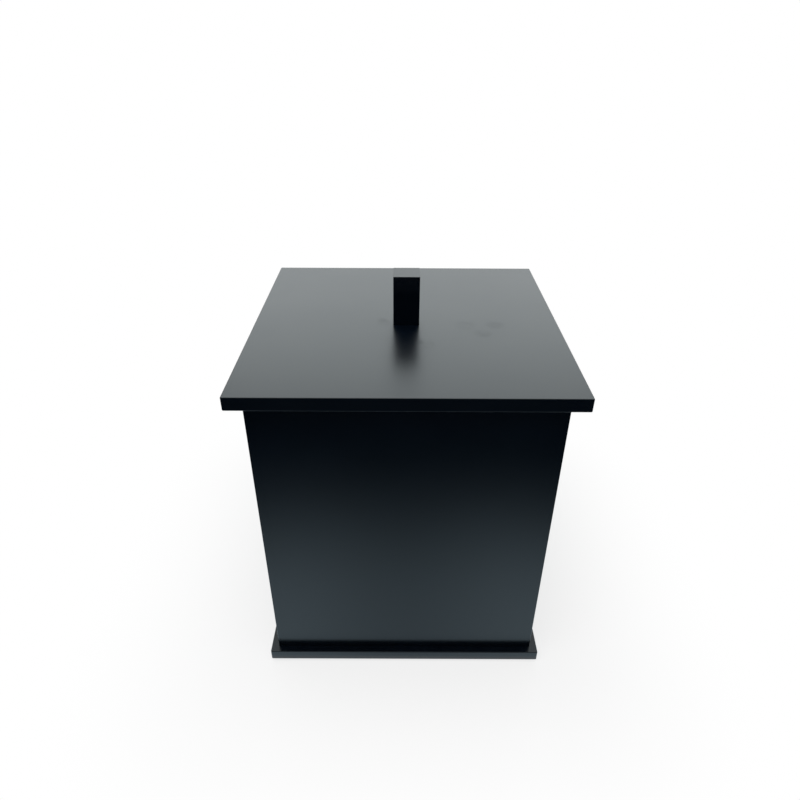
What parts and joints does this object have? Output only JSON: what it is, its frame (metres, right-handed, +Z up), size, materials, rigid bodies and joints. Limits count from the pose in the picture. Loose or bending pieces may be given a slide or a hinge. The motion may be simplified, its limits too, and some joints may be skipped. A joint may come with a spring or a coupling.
{
  "type": "donation box",
  "caption": "Square black acrylic donation box with a lift-off overhanging lid, a square post handle on the lid and a ledged base plate on rubber feet.",
  "frame": {"origin": "middle of the footprint, on the surface that the feet stand on", "axes": "+Z up through the handle, -Y towards the front, +X to the right seen from the front"},
  "size_m": [0.2496, 0.2496, 0.3259],
  "materials": {
    "satin_black_acrylic": "satin, lightly frosted sheet",
    "black_rubber": "matt",
    "steel_screw": "turned",
    "brass_insert": "turned"
  },
  "bodies": {
    "box": {"base_plate": "satin_black_acrylic", "front_wall": "satin_black_acrylic", "right_wall": "satin_black_acrylic", "back_wall": "satin_black_acrylic", "left_wall": "satin_black_acrylic", "foot_front_left": "black_rubber", "foot_front_right": "black_rubber", "foot_back_left": "black_rubber", "foot_back_right": "black_rubber"},
    "lid": {"lid_plate": "satin_black_acrylic", "lid_lip_front": "satin_black_acrylic", "lid_lip_right": "satin_black_acrylic", "lid_lip_back": "satin_black_acrylic", "lid_lip_left": "satin_black_acrylic", "handle_post": "satin_black_acrylic", "handle_insert": "brass_insert", "handle_screw": "steel_screw", "handle_washer": "steel_screw"}
  },
  "joints": [
    {"name": "lid_lift", "type": "slide", "parent": "box", "child": "lid", "axis": [0, 0, 1], "range_m": [0, 0.25]}
  ]
}
